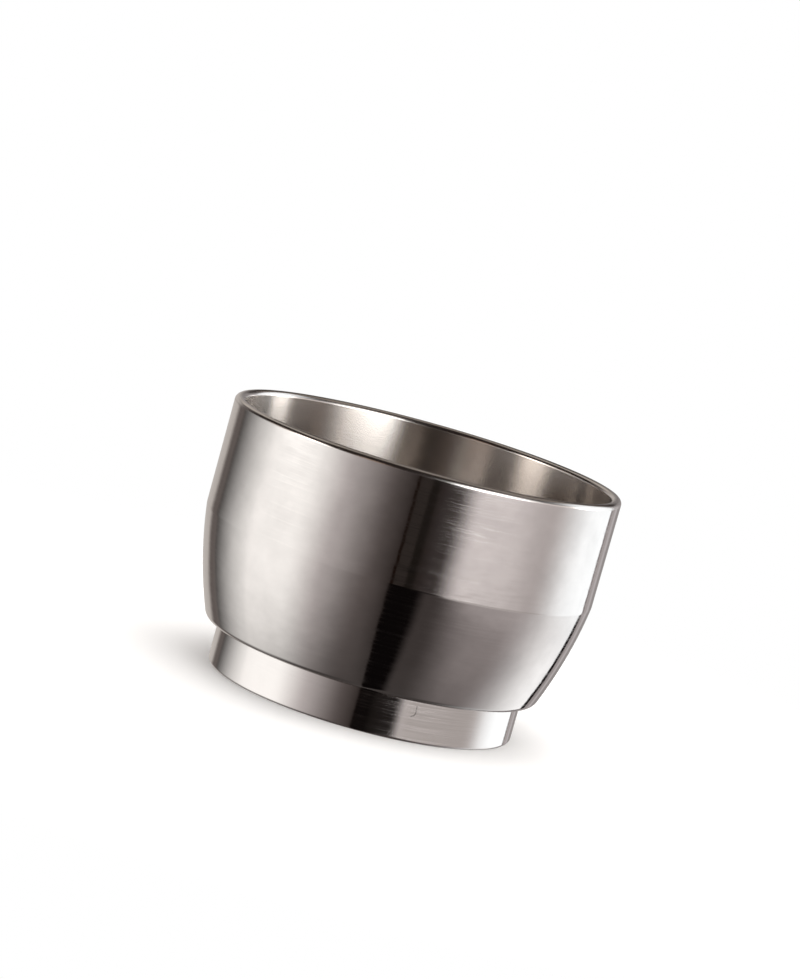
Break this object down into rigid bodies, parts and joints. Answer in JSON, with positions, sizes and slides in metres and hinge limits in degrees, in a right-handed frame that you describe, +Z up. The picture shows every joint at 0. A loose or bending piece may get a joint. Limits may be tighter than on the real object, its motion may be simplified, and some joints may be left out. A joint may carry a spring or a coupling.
{
  "type": "coffee grinder bean hopper",
  "caption": "Turned stainless steel bean hopper, open at both ends: a straight band over a bowl that narrows to a flat shoulder and a short spigot for a grinder's throat.",
  "frame": {"origin": "centre of the spigot's foot, the ring that the hopper stands on", "axes": "+Z up along the axis of the turned form, from the foot to the mouth; X and Y are any two radii at right angles"},
  "size_m": [0.076, 0.076, 0.0505],
  "materials": {
    "turned_steel": "polished outside with fine turned lines, satin inside"
  },
  "bodies": {
    "root": {"hopper": "turned_steel"}
  },
  "joints": []
}
